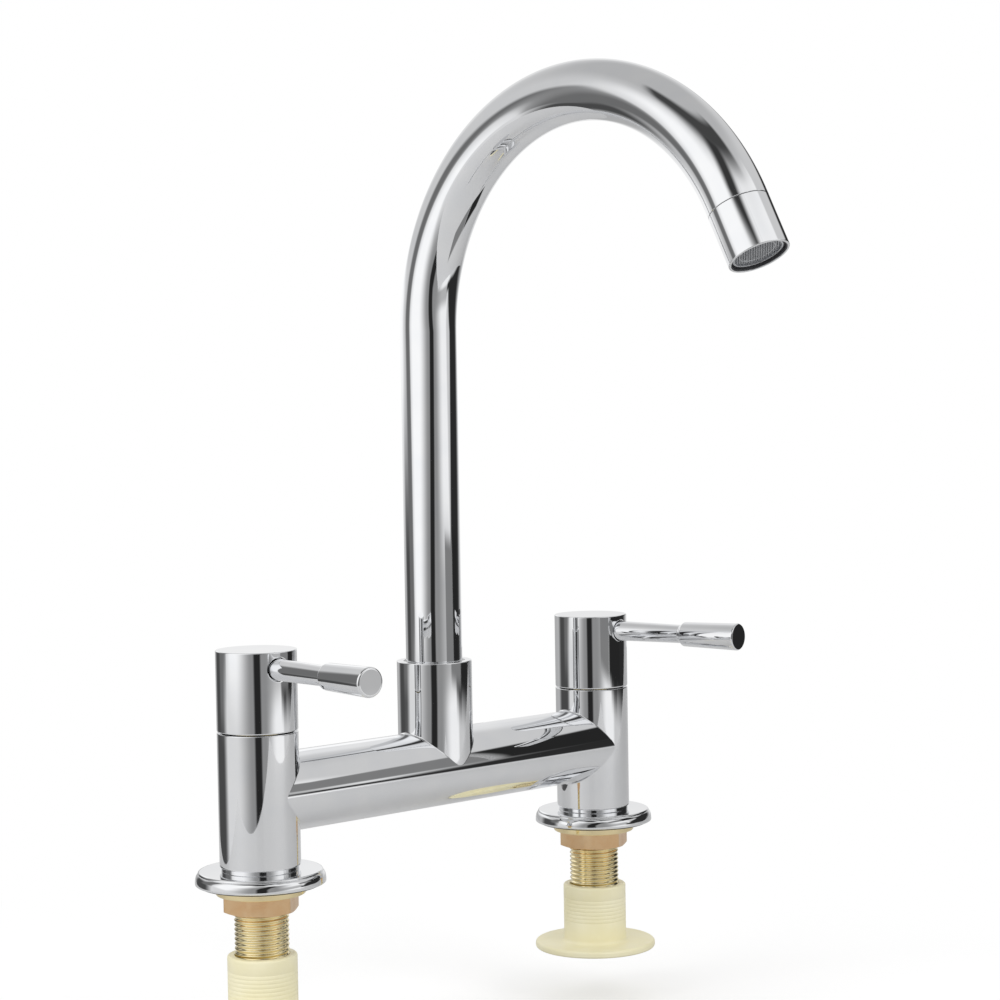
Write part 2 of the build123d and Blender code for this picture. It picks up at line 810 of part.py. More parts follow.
assembly = {
    **side_parts("left", -1, left_rest_angle, left_lock_hex_angle),
    **side_parts("right", 1, right_rest_angle, right_lock_hex_angle),
    **centre_parts(),
}
os.makedirs("parts", exist_ok=True)
for node, shape in assembly.items():
    export_step(shape, f"parts/{node}.step")
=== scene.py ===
import json
import math

import bpy
import numpy as np
from mathutils import Matrix, Vector


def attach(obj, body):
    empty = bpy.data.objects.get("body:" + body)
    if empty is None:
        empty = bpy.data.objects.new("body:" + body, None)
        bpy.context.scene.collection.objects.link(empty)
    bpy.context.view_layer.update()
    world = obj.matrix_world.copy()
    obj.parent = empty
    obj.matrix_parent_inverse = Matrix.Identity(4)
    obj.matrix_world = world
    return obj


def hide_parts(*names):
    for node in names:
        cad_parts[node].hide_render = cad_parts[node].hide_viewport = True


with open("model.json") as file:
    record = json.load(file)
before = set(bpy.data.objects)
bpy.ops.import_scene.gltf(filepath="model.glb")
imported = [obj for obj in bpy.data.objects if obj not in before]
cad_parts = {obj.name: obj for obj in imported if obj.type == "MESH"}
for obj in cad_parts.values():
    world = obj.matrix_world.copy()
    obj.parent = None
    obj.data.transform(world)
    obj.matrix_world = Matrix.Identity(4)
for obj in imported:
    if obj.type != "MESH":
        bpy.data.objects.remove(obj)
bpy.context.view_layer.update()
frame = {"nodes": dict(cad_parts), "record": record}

# Two handle kitchen mixer. Lengths are millimetres in the part's own frame and become metres
# when a mesh is made. Each visible piece is a surface worked out on a grid of two parameters:
# round pieces from a profile of (radius, height), pipes from a path, saddled joints from the
# curve on which a ball would roll along both tubes.
MM = 0.001
ROUND = 224  # columns round a pillar sized piece
FULL_TURN = (-np.pi, np.pi)  # angles round an upright piece, with 0 to the front

# ------------------------------------------------------------------ sizes shared by pieces
SHANK_X = 90.0
SHANK_R = 10.4775
SHANK_HOLE = 10.53  # radius of the holes that a shank or a cartridge screws into
DROP_HOLE = 10.83  # radius of the hole that the shank only passes through
THREAD_PITCH = 1.814
PILLAR_R = 15.5
DECK_TOP = 5.7  # top face of the base flange
BODY_TOP = 58.7
CAP_LOW = 59.1
CAP_TOP = 90.0
WALL_SPLIT = 70.0  # height at which the cap's and the socket's outlines are joined to a window
LEVER_Z = 83.4
BRIDGE_R = 15.4
BRIDGE_Z = 34.0
BLEND = 0.8  # radius of the ball that rolls along the bridge's joints
SOCKET_R = 15.2
SOCKET_BORE = 12.4
SOCKET_FLOOR = BRIDGE_Z + 20.0
SOCKET_RIM = 78.0
SPOUT_R = 11.4
SPOUT_WALL = 1.2
SPOUT_FOOT = 68.0
RISER_TOP = 210.5
BEND_R = 88.0
BEND = math.radians(152.5)
TAIL = 21.8
COLLAR = 20.0
REST = {"left": -3.8, "right": 10.8}  # how far each handle is turned from straight forward
SIDE = {"left": -1.0, "right": 1.0}
NUT_TURN = {"left": 39.0, "right": 30.0}  # where the middle of a flat of the lock nut faces


# ------------------------------------------------------------------ meshes from arrays
def quads(rows, columns, loop_rows=False):
    """Quads of a grid whose vertices are numbered row by row. Its columns close on themselves, and
    its rows do so if asked."""
    i = np.arange(rows if loop_rows else rows - 1)[:, None]
    j = np.arange(columns)[None, :]
    right = (j + 1) % columns
    below = (i + 1) % rows
    corners = (i * columns + j, i * columns + right, below * columns + right, below * columns + j)
    return np.stack(np.broadcast_arrays(*corners), -1).reshape(-1, 4)


def closed_ends(points, faces, columns):
    """Closes the first and last row of a grid with a fan to the row's own middle point."""
    rows = len(points) // columns
    j = np.arange(columns)
    fans = [faces]
    for row in (0, rows - 1):
        ring = row * columns + j
        tip = np.full(columns, len(points))
        points = np.vstack((points, points[ring].mean(0)))
        fans.append(np.stack((ring, row * columns + (j + 1) % columns, tip, tip), -1))
    return points, np.vstack(fans)


def outward(points, faces):
    """Turns all faces round if the volume under them, the sum of a . (b x c) over the triangles
    of every face, is negative."""
    a = points[faces[:, 0]]
    volume = 0.0
    for k in (1, 2):
        b, c = points[faces[:, k]], points[faces[:, k + 1]]
        volume += np.einsum("ij,ij->i", a, np.cross(b, c)).sum()
    return faces if volume > 0 else faces[:, ::-1]


def piece(name, points, faces, body, finish, stands_for, smooth=32.0):
    """Makes a mesh object from vertices in millimetres and quads, of which one with a repeated
    corner is a triangle. It rides on a body, fills a slot and stands for a CAD node; edges
    sharper than an angle stay sharp."""
    faces = outward(points, faces)
    used, index = np.unique(faces, return_inverse=True)
    faces = index.reshape(faces.shape)
    points = points[used] * MM
    following = np.roll(faces, -1, axis=1)
    keep = faces != following
    totals = keep.sum(1)
    loops = faces[keep]
    mesh = bpy.data.meshes.new(name)
    mesh.vertices.add(len(points))
    mesh.vertices.foreach_set("co", points.astype(np.float32).ravel())
    mesh.loops.add(len(loops))
    mesh.loops.foreach_set("vertex_index", loops.astype(np.int32))
    mesh.polygons.add(len(totals))
    mesh.polygons.foreach_set("loop_start", (np.cumsum(totals) - totals).astype(np.int32))
    mesh.polygons.foreach_set("loop_total", totals.astype(np.int32))
    mesh.update(calc_edges=True)
    mesh.validate()
    mesh.polygons.foreach_set("use_smooth", np.ones(len(mesh.polygons), bool))
    mesh.set_sharp_from_angle(angle=math.radians(smooth))
    mesh.materials.append(FINISH[finish])
    made = bpy.data.objects.new(name, mesh)
    bpy.context.scene.collection.objects.link(made)
    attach(made, body)
    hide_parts(stands_for)
    return made


SUPPORT = 0.12  # distance of a support row from its arc, as a share of the rounding


def outline(*corners, steps=7):
    """Rows (radius, height) through corners (radius, height[, rounding]). A rounded corner becomes
    an arc tangent to both its sides, centre + rounding * (cos, sin) between the tangent points,
    with a support row just before and after it that keeps the long faces flat."""
    rows = []
    for before, here, after in zip(corners[-1:] + corners[:-1], corners, corners[1:] + corners[:1]):
        p = np.array(here[:2], float)
        if len(here) < 3 or here[2] == 0:
            rows.append(p[None])
            continue
        a = np.array(before[:2], float) - p
        b = np.array(after[:2], float) - p
        a /= np.linalg.norm(a)
        b /= np.linalg.norm(b)
        half = math.acos(np.clip(a @ b, -1, 1)) / 2
        reach = here[2] / math.tan(half)
        centre = p + (a + b) / np.linalg.norm(a + b) * here[2] / math.sin(half)
        start = p + a * reach - centre
        end = p + b * reach - centre
        sweep = math.pi - 2 * half
        t = np.linspace(0, 1, steps)[:, None]
        arc = centre + (np.sin((1 - t) * sweep) * start + np.sin(t * sweep) * end) / math.sin(sweep)
        near = SUPPORT * here[2]
        rows.append(np.vstack((p + a * (reach + near), arc, p + b * (reach + near))))
    return np.vstack(rows)


def around(columns):
    """Angles of the columns round an upright piece."""
    return np.linspace(*FULL_TURN, columns, endpoint=False)


def swept(radius, t, height):
    """Vertices (r sin t, -r cos t, z) of a grid of radii and heights at the angles t, with t = 0 to
    the front."""
    grid = np.broadcast_arrays(radius * np.sin(t), -radius * np.cos(t), height)
    return np.stack(grid, -1).reshape(-1, 3)


def turned(rows, columns=ROUND):
    """Surface of revolution of rows (radius, height)."""
    return swept(rows[:, :1], around(columns), rows[:, 1:2])


def turned_solid(rows, columns=ROUND):
    """Closed body turned from a loop of rows, or from rows that start and end on the axis."""
    if rows[0, 0] == 0:
        inner = rows[1:-1]
        points = turned(inner, columns)
        points, faces = closed_ends(points, quads(len(inner), columns), columns)
        points[-2, 2] = rows[0, 1]
        points[-1, 2] = rows[-1, 1]
        return points, faces
    return turned(rows, columns), quads(len(rows), columns, loop_rows=True)


def placed(points, matrix):
    """Points carried by a 4x4 matrix whose translation is in millimetres."""
    m = np.array(matrix)
    return points @ m[:3, :3].T + m[:3, 3]


def at_pillar(side, rest=False):
    """Carries a shape made on the Z axis to a pillar, turned to its handle's rest angle if asked."""
    turn = Matrix.Rotation(math.radians(REST[side]), 4, "Z") if rest else Matrix.Identity(4)
    return Matrix.Translation((SIDE[side] * SHANK_X, 0, 0)) @ turn


def forward(height):
    """Carries a shape made along Z so that it points straight forward at a height."""
    return Matrix.Translation((0, 0, height)) @ Matrix.Rotation(math.radians(90), 4, "X")


def pillar_piece(side, name, solid, finish, node, body="root", rest=False, smooth=32.0):
    """A piece made on the Z axis and set on its pillar. Its name and its CAD node's begin with the
    side."""
    points = placed(solid[0], at_pillar(side, rest))
    return piece(f"{side}_{name}", points, solid[1], body, finish, f"{side}_{node}", smooth)


OUT = np.array((0.0, -math.sin(BEND), math.cos(BEND)))  # the way the water leaves
BEND_END = np.array((0.0, BEND_R * (math.cos(BEND) - 1), RISER_TOP + BEND_R * math.sin(BEND)))
MOUTH = BEND_END + OUT * TAIL


def at_outlet():
    """Carries a shape made along Z so that z = 0 is the collar's mouth and z runs up the spout."""
    up = Vector(-OUT)
    across = Vector((1, 0, 0))
    side = up.cross(across)
    m = Matrix((across, side, up)).transposed().to_4x4()
    m.translation = Vector(MOUTH)
    return m


# ------------------------------------------------------------------ finishes
MIX_NUMBERS = (2, 3, 0)  # sockets of a Mix node of numbers: one, two and the result
MIX_COLOURS = (6, 7, 2)  # the same of a Mix node of colours
NOISE_RANGE = (0.3, 0.7)  # most of what a noise gives


class Graph:
    """Short ways to build a shader out of nodes. A value is a constant or another node's output."""

    def __init__(self, tree):
        self.tree = tree

    def add(self, kind, **values):
        """A node with constants for its inputs and its own settings."""
        node = self.tree.nodes.new(kind)
        for key, value in values.items():
            if key in node.inputs:
                node.inputs[key].default_value = value
            else:
                setattr(node, key, value)
        return node

    def feed(self, socket, value):
        if isinstance(value, bpy.types.NodeSocket):
            self.tree.links.new(value, socket)
        else:
            socket.default_value = value

    def maths(self, operation, one, two=0.0):
        node = self.add("ShaderNodeMath", operation=operation)
        self.feed(node.inputs[0], one)
        self.feed(node.inputs[1], two)
        return node.outputs[0]

    def length(self, x, y):
        """Square root of x x + y y."""
        squares = self.maths("MULTIPLY", x, x), self.maths("MULTIPLY", y, y)
        return self.maths("SQRT", self.maths("ADD", *squares))

    def dot(self, x, y, direction):
        """Length of a level vector along a direction."""
        parts = (self.maths("MULTIPLY", v, float(d)) for v, d in zip((x, y), direction))
        return self.maths("ADD", *parts)

    def place(self):
        """Object coordinates."""
        return self.add("ShaderNodeTexCoord").outputs["Object"]

    def xyz(self):
        """Object coordinates one by one."""
        split = self.add("ShaderNodeSeparateXYZ")
        self.feed(split.inputs[0], self.place())
        return tuple(split.outputs)

    def ranged(self, value, low=0.0, high=1.0, start=0.0, stop=1.0, kind="LINEAR"):
        """Carries start..stop to low..high and holds it there."""
        ends = {"From Min": start, "From Max": stop, "To Min": low, "To Max": high}
        node = self.add("ShaderNodeMapRange", interpolation_type=kind, **ends)
        self.feed(node.inputs["Value"], value)
        return node.outputs["Result"]

    def edge(self, value, middle, soft):
        """Smooth step from 0 to 1 about a middle."""
        start, stop = middle - soft / 2, middle + soft / 2
        return self.ranged(value, start=start, stop=stop, kind="SMOOTHSTEP")

    def between(self, value, low, high, soft_low, soft_high):
        """1 between two soft edges, 0 outside."""
        below = self.edge(self.maths("MULTIPLY", value, -1.0), -high, soft_high)
        return self.maths("MULTIPLY", self.edge(value, low, soft_low), below)

    def noise(self, scale, detail):
        """Noise spread over 0 to 1."""
        pattern = self.add("ShaderNodeTexNoise", Scale=scale, Detail=detail)
        self.feed(pattern.inputs["Vector"], self.place())
        return self.ranged(pattern.outputs["Fac"], start=NOISE_RANGE[0], stop=NOISE_RANGE[1])

    def mixed(self, factor, one, two, colours=False):
        """Between two numbers, or two colours, by a factor."""
        first, second, result = MIX_COLOURS if colours else MIX_NUMBERS
        node = self.add("ShaderNodeMix", data_type="RGBA" if colours else "FLOAT")
        self.feed(node.inputs[0], factor)
        for socket, value in ((first, one), (second, two)):
            self.feed(node.inputs[socket], (*value, 1) if isinstance(value, tuple) else value)
        return node.outputs[result]

    def bump(self, shader, height, depth):
        """Bump of a real depth in metres on a shader's normal."""
        bump = self.add("ShaderNodeBump", Distance=depth, Strength=1.0)
        self.feed(bump.inputs["Height"], height)
        self.feed(shader.inputs["Normal"], bump.outputs["Normal"])

    def shade(self, kind, strength):
        """White emission or background of a strength."""
        node = self.add(kind, Color=(1, 1, 1, 1))
        self.feed(node.inputs["Strength"], strength)
        return node.outputs[0]

    def chosen(self, factor, one, two):
        """Between two shaders by a factor."""
        node = self.add("ShaderNodeMixShader")
        for socket, value in enumerate((factor, one, two)):
            self.feed(node.inputs[socket], value)
        return node.outputs[0]

    def camera_ray(self):
        return self.add("ShaderNodeLightPath").outputs["Is Camera Ray"]


def shaded(name):
    """A new node material, its Principled shader and its graph."""
    material = bpy.data.materials.new(name)
    material.use_nodes = True
    tree = material.node_tree
    return material, tree.nodes["Principled BSDF"], Graph(tree)


def textured(name, tints, roughness, grain, depth, metallic, drift, skin):
    """A finish whose colour drifts between two tints and whose roughness wanders over a range,
    with a grain of a depth in metres. Drift, skin and grain count the spots in a metre."""
    material, shader, g = shaded(name)
    shader.inputs["Metallic"].default_value = metallic
    tint = g.mixed(g.noise(drift, detail=3.0), *tints, colours=True)
    g.feed(shader.inputs["Base Color"], tint)
    g.feed(shader.inputs["Roughness"], g.ranged(g.noise(skin, detail=4.0), *roughness))
    g.bump(shader, g.noise(grain, detail=2.0), depth)
    return material


def metal(name, tint, second, roughness, grain, depth):
    """Metal with uneven polish."""
    tints = (tint, second)
    return textured(name, tints, roughness, grain, depth, metallic=1.0, drift=90.0, skin=160.0)


def moulded(name, tint, second, roughness, grain, depth):
    """Moulded plastic, rubber or ceramic with the mould's fine skin."""
    tints = (tint, second)
    return textured(name, tints, roughness, grain, depth, metallic=0.0, drift=70.0, skin=300.0)


def brass_turned_and_painted_highlight(name):
    """Brass nut that was tumbled after casting and then turned: rosy and dull below the collar's
    shoulder, yellow and bright above it. The paler yellow above is partly the turned brass and partly
    painted highlight for the lit top of the collar; its smoother polish is real."""
    low, high = -0.0038, -0.0033  # heights in metres where the change begins and ends
    rosy, pale, yellow = (0.8, 0.49, 0.25), (0.9, 0.66, 0.4), (0.95, 0.8, 0.48)
    material, shader, g = shaded(name)
    shader.inputs["Metallic"].default_value = 1.0
    above = g.ranged(g.xyz()[2], start=low, stop=high)
    tumbled = g.mixed(g.noise(110.0, detail=3.0), rosy, pale, colours=True)
    # painted highlight: above the shoulder the colour turns paler yellow, partly standing in for the
    # collar's lit top
    g.feed(shader.inputs["Base Color"], g.mixed(above, tumbled, yellow, colours=True))
    dull = g.ranged(g.noise(260.0, detail=4.0), low=0.15, high=0.26)
    g.feed(shader.inputs["Roughness"], g.mixed(above, dull, 0.13))
    g.bump(shader, g.noise(700.0, detail=2.0), depth=0.00002)
    return material


FINISH = {
    "chrome": metal(
        "polished_chrome", (0.86, 0.87, 0.89), (0.9, 0.905, 0.915), (0.015, 0.032), 60.0, 0.000003
    ),
    "bright_brass": metal(
        "turned_bright_brass", (0.96, 0.81, 0.46), (0.99, 0.88, 0.58), (0.08, 0.15), 900.0, 0.000003
    ),
    # cast_brass: paler yellow above the collar's shoulder, partly painted highlight
    "cast_brass": brass_turned_and_painted_highlight("brass_turned_with_painted_highlight"),
    "steel": metal(
        "stainless_steel", (0.55, 0.56, 0.58), (0.66, 0.67, 0.69), (0.22, 0.36), 800.0, 0.00001
    ),
    "cream_plastic": moulded(
        "cream_nylon", (0.88, 0.82, 0.54), (0.92, 0.87, 0.63), (0.32, 0.46), 500.0, 0.00002
    ),
    "white_plastic": moulded(
        "white_acetal", (0.78, 0.78, 0.76), (0.84, 0.84, 0.82), (0.3, 0.42), 500.0, 0.00001
    ),
    # grey_plastic: grey acetal coloured near black as painted shade in the aerator's recess
    "grey_plastic": moulded(
        "acetal_near_black_painted_shade", (0.03, 0.03, 0.034), (0.05, 0.05, 0.055), (0.32, 0.46), 500.0, 0.00001
    ),
    "black_rubber": moulded(
        "black_rubber", (0.015, 0.015, 0.016), (0.03, 0.03, 0.032), (0.55, 0.7), 800.0, 0.00002
    ),
    "white_ceramic": moulded(
        "white_ceramic", (0.83, 0.82, 0.79), (0.87, 0.86, 0.83), (0.14, 0.24), 600.0, 0.000004
    ),
}

slots = {part["node"]: part["material_slot"] for part in frame["record"]["subparts"]}
for name, node in frame["nodes"].items():
    node.data.materials.clear()
    node.data.materials.append(FINISH[slots[name]])


# ------------------------------------------------------------------ pillars
def valve_pillar(side):
    """Hollow pillar turned from its outer wall, a drawn in foot, and its stepped bore."""
    neck, neck_top = 14.9, 7.4
    seat, seat_low = 12.25, 56.7  # for the cartridge's flange
    chamber, chamber_low, chamber_top = 12.3, 23.0, 46.7
    throat, throat_low = 6.0, 18.0
    rows = outline(
        (SHANK_HOLE, DECK_TOP, 0.1),
        (neck, DECK_TOP, 0.25),
        (neck, neck_top, 0.1),
        (PILLAR_R, neck_top, 0.3),
        (PILLAR_R, BODY_TOP, 0.35),
        (seat, BODY_TOP, 0.15),
        (seat, seat_low),
        (SHANK_HOLE, seat_low),
        (SHANK_HOLE, chamber_top),
        (chamber, chamber_top),
        (chamber, chamber_low),
        (throat, chamber_low),
        (throat, throat_low),
        (SHANK_HOLE, throat_low),
    )
    return pillar_piece(side, "pillar", turned_solid(rows), "chrome", "valve_body")


def bowed(start, size, first, last, steps):
    """Rows up an outside of a turned piece while its surface leans from one angle to another:
    radius falls by size * (cos first - cos lean), height rises by size * (sin lean - sin first)."""
    lean = np.radians(np.linspace(first, last, steps))
    fall = size * (math.cos(lean[0]) - np.cos(lean))
    return np.stack((start[0] - fall, start[1] + size * (np.sin(lean) - math.sin(lean[0]))), -1)


GASKET = (18.8, 23.4)  # its inner and outer radius
GASKET_FIT = 0.05
GASKET_TOP = 1.6
FLANGE_GROOVE = ((0.05, 0.02), (0.17, 0.08), (0.17, 0.12), (0.05, 0.18))  # inwards, up


def base_flange(side):
    """Turned flange: rounded foot, slightly bowed rim, round shoulder, fine groove and a lip."""
    low, rim_height, rim_lean, shoulder_lean, groove_height = 0.6, 2.2, 12.0, 50.0, 0.2
    foot = bowed((24.5, low), 0.5, -90.0, 0.0, 9)
    rim = bowed(foot[-1], rim_height / math.sin(math.radians(rim_lean)), 0.0, rim_lean, 9)
    shoulder = bowed(rim[-1], 2.6, rim_lean, shoulder_lean, 12)
    r, z = shoulder[-1]
    lip = bowed((r, z + groove_height), DECK_TOP - z - groove_height, 0.0, 90.0, 9)
    under = outline(
        (DROP_HOLE, 3.0),
        (DROP_HOLE, low, 0.1),
        (GASKET[0] - GASKET_FIT, low, 0.1),
        (GASKET[0] - GASKET_FIT, GASKET_TOP),
        (GASKET[1] + GASKET_FIT, GASKET_TOP),
        (GASKET[1] + GASKET_FIT, low, 0.1),
        (24.0, low),
    )
    top = outline((23.0, DECK_TOP), (DROP_HOLE, DECK_TOP, 0.15), (DROP_HOLE, 4.0))[:-1]
    groove = [(r - inwards, z + up) for inwards, up in FLANGE_GROOVE]
    rows = np.vstack((under[:-1], foot, rim[1:], shoulder[1:], groove, lip, top))
    solid = turned_solid(rows, 320)
    return pillar_piece(side, "flange", solid, "chrome", "base_flange", smooth=50.0)


def base_gasket(side):
    """Flat rubber ring with soft edges."""
    inner, outer = GASKET
    rows = outline(
        (inner, 0, 0.15),
        (outer, 0, 0.2),
        (outer, GASKET_TOP, 0.15),
        (inner, GASKET_TOP, 0.15),
        steps=5,
    )
    return pillar_piece(side, "gasket", turned_solid(rows), "black_rubber", "base_gasket")


def hexagon(angle, across, corner=0.2, blend=0.12):
    """Radius of a hexagon at each angle: across / 2 / cos(a) in each sixth, eased near its
    corners by a smooth minimum with a circle that cuts them a little."""
    a = (angle + np.pi / 6) % (np.pi / 3) - np.pi / 6
    flat = across / 2 / np.cos(a)
    tip = across / 2 / math.cos(math.pi / 6) - corner
    h = np.clip(0.5 + 0.5 * (tip - flat) / blend, 0, 1)
    return tip + (flat - tip) * h - blend * h * (1 - h)


def lock_nut(side):
    """Hexagon nut under a round collar. The radius of each row is the hexagon's, held inside an
    18 degree cone at the bottom, and goes over to a circle in the collar. The columns stand
    closer together at the corners: t = s - 0.12 sin(6 (s - corner))."""
    columns, across = 432, 26.0
    turn = math.radians(NUT_TURN[side])
    s = around(columns)
    t = s - 0.12 * np.sin(6 * (s - turn - np.pi / 6))
    hexa = hexagon(t - turn, across)
    low, shelf, cone, collar, top = -10.3, -3.4, 12.6, 17.2, 0.6
    rise = (hexa - cone) * math.tan(math.radians(18))
    rows = [(SHANK_HOLE, low + 0.3), (SHANK_HOLE + 0.3, low), (cone - 0.15, low)]
    for k in (0.1, 0.4, 0.7, 0.9):
        rows.append((cone + (hexa - cone) * k, low + rise * k))
    rows.append((hexa - 0.02, low + rise + 0.03))
    rows.append((hexa, low + rise + 0.15))
    rows.append((hexa, shelf - 0.3))
    rows.append((hexa + 0.06, shelf - 0.1))
    rows.append((hexa + 0.25, shelf))
    shoulder = (16.0, shelf), (collar, shelf, 0.5)
    rows.extend(outline(*shoulder, (collar, top, 0.3), (SHANK_HOLE, top, 0.15)))
    radius = np.array([r + 0 * t for r, z in rows])
    height = np.array([z + 0 * t for r, z in rows])
    solid = swept(radius, t, height), quads(len(rows), columns, loop_rows=True)
    return pillar_piece(side, "hexagon_nut", solid, "cast_brass", "lock_nut")


def thread_wave(turns):
    """Rounded thread profile over one pitch, 0 at the root and 1 at the crest: a triangle wave
    stretched past both ends and clipped smoothly."""
    saw = np.abs((turns % 1.0) * 2 - 1)
    return 0.5 + 0.5 * np.tanh(3.1 * (saw - 0.5)) / math.tanh(1.55)


def threaded_shank(side):
    """Shank with its pipe thread: radius = root + depth * wave(z / pitch - angle / full turn),
    faded out to plain ends, and the stepped bore inside."""
    columns = 128
    t = around(columns)
    low, high, root, chamfer = -53.0, 18.0, 9.85, 1.2
    throat, inlet, inlet_top = 6.0, 7.0, low + 40.0
    thread_low, thread_high, fade_low = low + chamfer + 0.05, -8.0, -10.2
    z = np.arange(thread_low, thread_high, THREAD_PITCH / 14)[:, None]
    radius = root + (SHANK_R - root) * thread_wave(z / THREAD_PITCH - t / (2 * np.pi))
    radius = np.minimum(radius, SHANK_R - chamfer + z - low)
    plain = np.clip(z - fade_low, 0, 1)
    radius = radius * (1 - plain) + SHANK_R * plain
    foot = outline(
        (throat, high),
        (throat, inlet_top),
        (inlet, inlet_top),
        (inlet, low, 0.2),
        (9.27, low, 0.15),
        (9.6, low + 1.0),
    )[:-1]
    head = outline((SHANK_R, -7.0), (SHANK_R, high, 0.9), (inlet, high))[:-1]
    points = np.vstack((turned(foot, columns), swept(radius, t, z), turned(head, columns)))
    solid = points, quads(len(foot) + len(z) + len(head), columns, loop_rows=True)
    return pillar_piece(side, "shank", solid, "bright_brass", "threaded_shank", smooth=60.0)


def mounting_nut(side):
    """Moulded nut: sleeve with a rounded mouth and fine tool rings, a hollow at its foot, and a
    flange with a full rim."""
    inner, sleeve, flange, mouth = SHANK_R + 0.05, 13.4, 25.8, 11.33
    top, low = -26.8, -54.3
    face = low + 2.9
    dent, first_ring, ring_pitch = 0.07, -32.4, 1.6
    profile = ((0, 0), (dent, 0.12), (dent, 0.22), (0, 0.34))  # inwards, down
    rings = []
    for k in range(7):
        high = first_ring - ring_pitch * k
        rings.extend((sleeve - inwards, high - down) for inwards, down in profile)
    rows = outline(
        (inner, top, 0.3),
        (sleeve, top, 0.9),
        *rings,
        (sleeve, face, 1.6),
        (flange, face, 1.1),
        (flange, low, 0.9),
        (mouth, low, 0.3),
        (mouth, low + 2.6, 0.2),
        (inner, low + 3.4, 0.2),
    )
    solid = turned_solid(rows, 256)
    body = f"{side}_mounting_nut"
    return pillar_piece(side, "plastic_nut", solid, "cream_plastic", "mounting_nut", body)


# ------------------------------------------------------------------ round walls with a round pocket
def pocketed(solid, columns, window, heights, radius, level, pocket):
    """Opens a window in the outer wall of a turned grid and fills it with rings that lead to a
    round pocket facing the front, given by the radius of its mouth and bore and by how far from
    the axis its floor lies. Each window vertex keeps its own direction about the pocket's middle;
    a ring's points are size * (cos, sin) of that direction, first on the wall, then over a small
    rounded edge, then along the bore to its flat floor."""
    points, faces = solid
    mouth, bore, floor = pocket
    c0, c1, r0, r1 = window
    row, column = faces // columns, faces % columns
    inside = ((row >= r0) & (row <= r1) & (column >= c0) & (column <= c1)).all(1)
    wide, tall = np.arange(c0, c1), np.arange(r0, r1)
    across = np.concatenate((wide, np.full(r1 - r0, c1), wide[::-1] + 1, np.full(r1 - r0, c0)))
    down = np.concatenate((np.full(c1 - c0, r0), tall, np.full(c1 - c0, r1), tall[::-1] + 1))
    x = radius * np.sin(around(columns)[across])
    z = heights[down] - level
    turn = np.arctan2(z, x)

    def circle(size):
        return np.stack((size * np.cos(turn), size * np.sin(turn)), -1)

    def under_wall(ring, depth=0.0):
        return ring, depth - np.sqrt(radius**2 - ring[:, 0] ** 2)

    start, on_mouth, in_bore = np.stack((x, z), -1), circle(mouth), circle(bore)
    made = [under_wall(start + (on_mouth - start) * k) for k in (0.25, 0.5, 0.75, 0.95, 1.0)]
    for lean in (math.pi / 4, math.pi / 2):
        ring = on_mouth + (in_bore - on_mouth) * math.sin(lean)
        made.append(under_wall(ring, (mouth - bore) * (1 - math.cos(lean))))
    made.append(under_wall(in_bore, mouth - bore + 0.05))
    for size, out in ((bore, floor + 0.15), (bore - 0.12, floor), (bore * 0.5, floor)):
        made.append((circle(size), np.full(len(turn), -out)))
    rings = np.array([np.stack((ring[:, 0], y, level + ring[:, 1]), -1) for ring, y in made])
    base, count = len(points), len(turn)
    strips = [down * columns + across]
    strips.extend(base + k * count + np.arange(count) for k in range(len(rings)))
    points = np.vstack((points, rings.reshape(-1, 3), [[0, -floor, level]]))
    tip = np.full(count, len(points) - 1)
    parts = [faces[~inside]]
    for one, two in zip(strips, strips[1:]):
        parts.append(np.stack((one, two, np.roll(two, -1), np.roll(one, -1)), -1))
    parts.append(np.stack((strips[-1], tip, tip, np.roll(strips[-1], -1)), -1))
    return points, np.vstack(parts)


def window_span(columns, radius, half_width, first_row, rows):
    """First and last column and row of a window of at least a half width to each side of the
    front."""
    span = math.ceil(math.asin(half_width / radius) / (2 * math.pi) * columns)
    return columns // 2 - span, columns // 2 + span, first_row, first_row + rows - 1


def straight(radius, heights):
    """Rows of one radius."""
    return np.stack(np.broadcast_arrays(radius, heights), -1)


def handle_cap(side):
    """Hollow cap: flat top, tiny rounded edges, and the rounded hole that the lever comes out of."""
    inner, ceiling = 13.7, 87.5
    hole = (4.9, 4.4, 13.75)
    top = outline((0, CAP_TOP), (PILLAR_R, CAP_TOP, 0.4), (PILLAR_R, WALL_SPLIT))[:-1]
    window = np.linspace(LEVER_Z + 5.4, LEVER_Z - 5.9, 16)
    low = outline(
        (PILLAR_R, WALL_SPLIT),
        (PILLAR_R, CAP_LOW, 0.5),
        (inner, CAP_LOW, 0.15),
        (inner, ceiling),
        (0, ceiling),
    )[1:]
    rows = np.vstack((top, straight(PILLAR_R, window), low))
    span = window_span(ROUND, PILLAR_R, 5.7, len(top) - 1, len(window))
    solid = pocketed(turned_solid(rows), ROUND, span, rows[1:-1, 1], PILLAR_R, LEVER_Z, hole)
    return pillar_piece(side, "cap", solid, "chrome", "handle_cap", f"{side}_handle", True)


def lever(side):
    """Turned pin: tapering stem, waist, smooth shoulder, flared grip with a round end edge."""
    start, stem_start, waist_end, grip_start, end = 4.05, 12.6, 46.0, 48.2, 74.0
    stud, waist, grip = 3.0, 3.8, 5.1
    t = np.linspace(0, 1, 15)[:-1]
    ease = t * t * (3 - 2 * t)
    swell = (waist + (grip - waist) * ease, waist_end + (grip_start - waist_end) * t)
    stem = outline(
        (0, start),
        (stud, start, 0.3),
        (stud, stem_start),
        (4.2, stem_start, 0.3),
        (waist, waist_end - 0.1),
    )
    flare = outline((grip, grip_start + 0.05), (5.6, end, 0.9), (0, end), steps=11)
    points, faces = turned_solid(np.vstack((stem, np.stack(swell, -1), flare)), 160)
    points = placed(points, at_pillar(side, True) @ forward(LEVER_Z))
    return piece(f"{side}_pin_lever", points, faces, f"{side}_handle", "chrome", f"{side}_lever")


